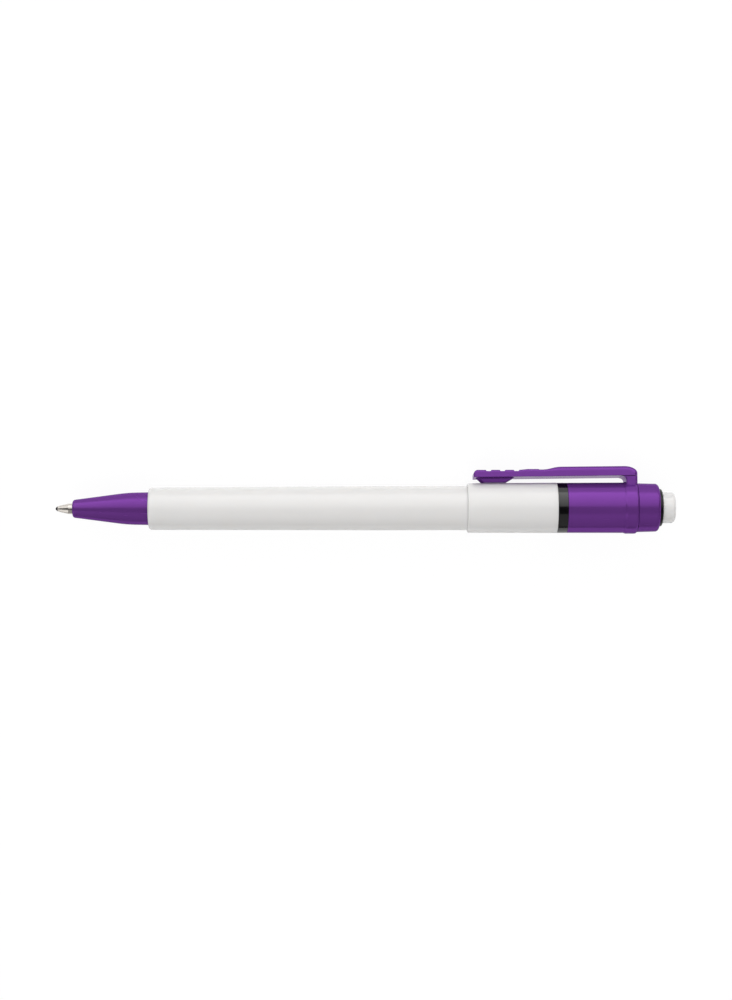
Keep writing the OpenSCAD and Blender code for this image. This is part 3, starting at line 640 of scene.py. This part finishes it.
# height of the arm's underside, straight from the front to the bend and level behind it
def underside(x):
    ends, heights = ("front", "underBend"), ("underFront", "underRear")
    return np.interp(x, [clipArm[key] for key in ends], [clipArm[key] for key in heights])


# straight slope between two levels with both bends eased over a short length, as the mean of shifted clamps
def easedRamp(x, x0, x1, ease, clamps=15):
    shifts = np.linspace(-ease, ease, clamps)
    return np.clip((x[:, None] + shifts - x0) / (x1 - x0), 0, 1).mean(1)


# extra points within a reach of each centre
def around(centres, reach, count):
    return np.add.outer(centres, np.linspace(-reach, reach, count)).ravel()


# upper outline in side view: up the front, a quarter circle, level, ramp, level, a quarter ellipse, and down
# the rear, with its normals
def armOutline(size, steps):
    upright = steps["upright"]
    riseEnd = size["topFront"] - size["noseRound"] - steps["uprightGap"]
    rise = np.linspace(size["underFront"], riseEnd, upright)
    a = np.linspace(0, np.pi / 2, steps["nose"])
    noseX = size["front"] + size["noseRound"] * (1 - np.cos(a))
    noseZ = size["topFront"] - size["noseRound"] * (1 - np.sin(a))
    noseN = np.stack([-np.cos(a), np.sin(a)], axis=1)
    topEnd = size["rear"] - size["cornerLen"]
    rampReach, rampCount = steps["ramp"]
    topX = np.unique(np.concatenate([
        np.linspace(noseX[-1] + steps["noseGap"], topEnd - steps["cornerGap"], steps["top"]),
        around(size["grooves"], *steps["groove"]), around(size["land"], *steps["land"]),
        np.linspace(size["ramp"][0] - rampReach, size["ramp"][1] + rampReach, rampCount)]))
    climb = easedRamp(topX, *size["ramp"], size["rampBlend"])
    topZ = size["topFront"] + (size["topRear"] - size["topFront"]) * climb
    topZ += np.interp(topX, [size["ramp"][1], topEnd], [0, size["rearRise"]])
    slope = np.gradient(topZ, topX)
    topN = np.stack([-slope, np.ones_like(slope)], axis=1)
    c = np.linspace(np.pi / 2, 0, steps["corner"])
    cornerX = topEnd + size["cornerLen"] * np.cos(c)
    cornerZ = topZ[-1] - size["cornerHigh"] + size["cornerHigh"] * np.sin(c)
    cornerN = np.stack([np.cos(c) / size["cornerLen"], np.sin(c) / size["cornerHigh"]], axis=1)
    fall = np.linspace(cornerZ[-1] - steps["uprightGap"], size["underRear"] - size["landHigh"][-1], upright)
    frontX, rearX = np.full(upright, size["front"]), np.full(upright, size["rear"])
    x = np.concatenate([frontX, noseX, topX, cornerX, rearX])
    z = np.concatenate([rise, noseZ, topZ, cornerZ, fall])
    frontN, rearN = np.tile([-1.0, 0.0], (upright, 1)), np.tile([1.0, 0.0], (upright, 1))
    normal = np.concatenate([frontN, noseN, topN, cornerN, rearN])
    return x, z, normal / np.linalg.norm(normal, axis=1, keepdims=True)


# section at each outline point, from the underside's middle out, up the side and in to the top's middle, then
# mirrored. Within a radius r of the side, a point is inset by r - sqrt(r^2 - c^2), c being how far it is into
# that margin. The first column on the side is a guard that keeps the side's shading flat
def armGrid(size, steps):
    x, z, normal = armOutline(size, steps)
    half, low = size["halfWidth"], size["underRound"]
    climb = easedRamp(x, *size["ramp"], size["rampBlend"])
    r = (size["roundFront"] + (size["roundRear"] - size["roundFront"]) * climb)[:, None]
    quarter = np.linspace(0, np.pi / 2, size["edgeSteps"])
    flatShare, flatStep = np.array(size["flatPlaces"]).T
    arc = np.concatenate([np.cos(quarter), 0 * flatShare])
    share = np.concatenate([np.ones_like(quarter), flatShare])
    step = np.concatenate([np.zeros_like(quarter), flatStep])
    outward = (half - r) * share + r * arc + step
    columns = outward.shape[1]
    edge = half + 0 * r
    y = np.concatenate([outward[:, ::-1], edge, edge, outward], axis=1)
    y = np.concatenate([y, y[:, ::-1]], axis=1)
    up = np.concatenate([np.zeros(columns + 1), [size["sideTop"]], np.ones(columns)])
    isGuard = np.arange(2 * columns + 2) == columns
    side = np.repeat([1.0, -1.0], len(up))
    up, isGuard = (np.concatenate([v, v[::-1]]) for v in (up, isGuard))
    down = np.clip((y - (half - low)) / low, 0, 1)
    lift = np.where(isGuard, size["guardLift"] * low, low * (1 - np.sqrt(1 - down ** 2)))
    into = np.clip((y - (half - r)) / r, 0, 1)
    inset = r * (1 - np.sqrt(1 - into ** 2))
    gridX = x[:, None] - inset * normal[:, :1]
    base = underside(gridX)
    floor = base + np.minimum(lift, size["liftShare"] * np.maximum(z[:, None] - base, 0))
    top = z[:, None] - inset * normal[:, 1:]
    near = np.abs(gridX[..., None] - np.array(size["grooves"])).min(-1)
    slopeRun = (size["grooveWide"] - size["grooveFloor"]) / 2
    groove = size["grooveDeep"] * np.clip((size["grooveWide"] / 2 - near) / slopeRun, 0, 1)
    land = np.interp(gridX, size["land"], size["landHigh"])
    top = np.minimum(top + land, np.where(groove > 0, size["topFront"] - groove, np.inf))
    gridZ = floor + up * np.maximum(top - floor, 0)
    drawnIn = size["draft"] * (gridZ - base) * y / half
    return toFrame(gridX, side * (y - drawnIn), gridZ)


# pad: a block under the arm between two slopes, hollowed below to a circle about the pen's axis, with its top
# sunk into the arm. Within a bevel's length of the front slope, its width falls evenly to a narrow keel
def padGrid(size, lengthSteps=160, widthSteps=25, sideSteps=9):
    x = np.linspace(size["from"], size["to"], lengthSteps)[:, None]
    drop = clipArm["underFront"] - size["low"]
    under = underside(x)
    frontLine = under - drop * (x - size["from"]) / size["frontRun"]
    line = np.maximum(frontLine, under - drop * (size["to"] - x) / size["rearRun"])
    half, r = size["halfWidth"], size["round"]
    y = half * np.sin(np.linspace(np.pi / 2, -np.pi / 2, widthSteps))
    into = np.clip((np.abs(y) - (half - r)) / r, 0, 1)
    bottom = np.maximum(line, np.sqrt(size["saddle"] ** 2 - y ** 2)) + r * (1 - np.sqrt(1 - into ** 2))
    top = under + size["intoArm"]
    share = np.linspace(0, 1, sideSteps, endpoint=False)
    sideZ = top + (np.minimum(bottom[:, :1], top) - top) * share
    gridZ = np.concatenate([sideZ, np.minimum(bottom, top), sideZ[:, ::-1]], axis=1)
    gridY = np.concatenate([np.full(sideSteps, half), y, np.full(sideSteps, -half)]) + 0 * gridZ
    away = (gridZ - frontLine) * size["frontRun"] / math.hypot(drop, size["frontRun"])
    gridY *= np.clip(away / size["bevel"], size["keel"], 1)
    return endsClosed(toFrame(x + 0 * gridZ, gridY, gridZ))


arm = skin("clipArm", [(armGrid(clipArm, armSteps), False), (padGrid(clipPad), False)])
carry(arm, purple, "clip", "purple_plastic", "clip_arm")
print("clip done:", len(arm.data.polygons), "faces")

# inner pieces keep their solids and get these finishes
inner = {"guide_sleeve": black, "plunger": natural, "cam_rotor": natural, "writing_ball": ballMetal,
         "tip_holder": natural, "refill_tube": natural, "ink_column": ink, "grease_follower": grease}
for name, mat in inner.items():
    for slot in frame["nodes"][name].material_slots:
        slot.material = mat
print("inner pieces:", len(inner))

# floor: pale and lit by the lamps, but shown nearly white to the camera, with a share of its shadow kept near
# the pen and less far off. Reflections show it glowing whitest in a strip under the clip's side, painted
# light
floorLook = {"size": 40.0, "drop": 0.0001, "colour": (0.90, 0.90, 0.90), "second": (0.88, 0.88, 0.88),
             "streaks": 1.0, "roughness": 0.9, "specular": 0.0, "shown": (0.92, 0.98), "far": (0.3, 1.2),
             "paintedLightShare": (0.95, 0.1), "stripMiddle": 0.0025, "stripEdges": (0.003, 0.008), "strength": 1.03}


def buildFloor(look):
    half = look["size"] / 2
    corners = np.array([[-half, -half], [half, -half], [half, half], [-half, half]])
    mesh = bpy.data.meshes.new("floor")
    mesh.from_pydata(np.column_stack([corners, np.full(4, -look["drop"])]), [], [(0, 1, 2, 3)])
    floor = bpy.data.objects.new("floor", mesh)
    scene.collection.objects.link(floor)
    mat, tree, shader, place = startMaterial("paleFloor")
    plug(tree, shader.inputs["Base Color"], streakedColour(tree, place, look))
    plug(tree, shader.inputs["Roughness"], look["roughness"])
    plug(tree, shader.inputs["Specular IOR Level"], look["specular"])
    path = node(tree, "LightPath", {})
    seen = maths(tree, "MAXIMUM", path["Is Camera Ray"], path["Is Transmission Ray"])
    reach = node(tree, "VectorMath", {0: place}, operation="LENGTH")["Value"]
    shown = maths(tree, "MULTIPLY", seen, remap(tree, reach, look["far"], look["shown"], "SMOOTHSTEP"))
    spot = node(tree, "SeparateXYZ", {"Vector": place})
    # painted light: reflections see the floor glow white in the strip under the clip, in place of its lamp
    # light there
    away = maths(tree, "ABSOLUTE", maths(tree, "SUBTRACT", spot["Y"], look["stripMiddle"]))
    paintedLightShare = remap(tree, away, look["stripEdges"], look["paintedLightShare"], "SMOOTHSTEP")
    share = maths(tree, "MULTIPLY_ADD", path["Is Glossy Ray"], paintedLightShare, shown)
    plain = node(tree, "Emission", {"Color": (1, 1, 1, 1), "Strength": look["strength"]})[0]
    mixed = node(tree, "MixShader", {0: share, 1: shader.outputs[0], 2: plain})[0]
    plug(tree, tree.nodes["Material Output"].inputs["Surface"], mixed)
    mesh.materials.append(mat)


buildFloor(floorLook)

# soft boxes on both long sides of the pen, a card at each one's tip end, and a veil nearly overhead that
# lights without a reflection of its own. place is the angle from straight up towards +Y in degrees, lengths
# are in metres, and radiance goes from the upper edge to the lower
lamps = {"key": {"place": 55.3, "distance": 0.9, "shift": 0.3, "high": 1.245, "long": 1.8,
                 "radiance": (0.64, 1.95), "glossy": True},
         "keyCard": {"place": 66.0, "distance": 0.88, "shift": -0.9, "high": 0.9, "long": 0.7,
                     "radiance": (1.05, 1.05), "glossy": True},
         "fill": {"place": -47.0, "distance": 0.9, "shift": 0.3, "high": 1.17, "long": 1.8,
                  "radiance": (0.25, 0.25), "glossy": True},
         "fillCard": {"place": -47.0, "distance": 0.88, "shift": -0.9, "high": 1.17, "long": 0.7,
                      "radiance": (0.9, 0.9), "glossy": True},
         "veil": {"place": -15.0, "distance": 1.0, "shift": 0.0, "high": 1.2, "long": 1.2,
                  "radiance": (1.37, 1.37), "glossy": False}}


def buildLamp(name, size):
    light = bpy.data.lights.new(name, "AREA")
    light.shape = "RECTANGLE"
    light.size, light.size_y = size["long"], size["high"]
    light.energy = math.pi * size["long"] * size["high"]
    light.use_nodes = True
    tree = light.node_tree
    upper, lower = size["radiance"]
    glow = tree.nodes["Emission"].inputs["Strength"]
    if upper == lower:
        plug(tree, glow, upper)
    else:
        spot = node(tree, "NewGeometry", {})["Parametric"]
        height = node(tree, "SeparateXYZ", {"Vector": spot})["Y"]
        plug(tree, glow, remap(tree, height, (0.0, 1.0), (upper, lower)))
    lampObject = bpy.data.objects.new(name, light)
    place = math.radians(size["place"])
    away, side = Vector((0, math.sin(place), math.cos(place))), Vector((1, 0, 0))
    turn = Matrix((side, away.cross(side), away)).transposed()
    middle = away * size["distance"] + side * size["shift"]
    lampObject.matrix_world = Matrix.Translation(middle) @ turn.to_4x4()
    lampObject.visible_glossy = size["glossy"]
    scene.collection.objects.link(lampObject)


for name, size in lamps.items():
    buildLamp(name, size)
print("lamps:", ", ".join(lamps))

room = {"colour": (1.0, 1.0, 1.0), "strength": 0.03, "shown": 1.0}  # dim as a light, white to the camera


def buildRoom(look):
    world = bpy.data.worlds.new("room")
    world.use_nodes = True
    tree = world.node_tree
    backdrop = tree.nodes["Background"].inputs
    seen = node(tree, "LightPath", {})["Is Camera Ray"]
    plug(tree, backdrop["Color"], (*look["colour"], 1))
    plug(tree, backdrop["Strength"], remap(tree, seen, (0.0, 1.0), (look["strength"], look["shown"])))
    scene.world = world


buildRoom(room)

# camera: nearly overhead and leaning to the clip's side, with the clip at the top of the picture. Its frame
# is taller than wide, so the sensor's size and frameHigh are the picture's height
shot = {"distance": 0.480, "frameHigh": 0.22624, "sensor": 36.0, "leanDeg": 14.7, "rollDeg": 0.11,
        "right": 0.00023, "up": 0.00186, "near": 0.01, "far": 100.0}


def buildCamera(size):
    lean, roll = math.radians(size["leanDeg"]), math.radians(size["rollDeg"])
    back = np.array([0, math.sin(lean), math.cos(lean)])
    level = np.array([0, math.cos(lean), -math.sin(lean)])
    right = math.cos(roll) * along - math.sin(roll) * level
    up = math.sin(roll) * along + math.cos(roll) * level
    aim = np.array([0, penStart[1], penStart[2]]) + size["right"] * along + size["up"] * level
    camera = bpy.data.cameras.new("camera")
    camera.sensor_width = size["sensor"]
    camera.lens = size["sensor"] * size["distance"] / size["frameHigh"]
    camera.clip_start, camera.clip_end = size["near"], size["far"]
    cameraObject = bpy.data.objects.new("camera", camera)
    turn = Matrix(np.column_stack([right, up, back]).tolist()).to_4x4()
    cameraObject.matrix_world = Matrix.Translation(Vector(aim + back * size["distance"])) @ turn
    scene.collection.objects.link(cameraObject)
    scene.camera = cameraObject


buildCamera(shot)
print("floor, room and camera done")
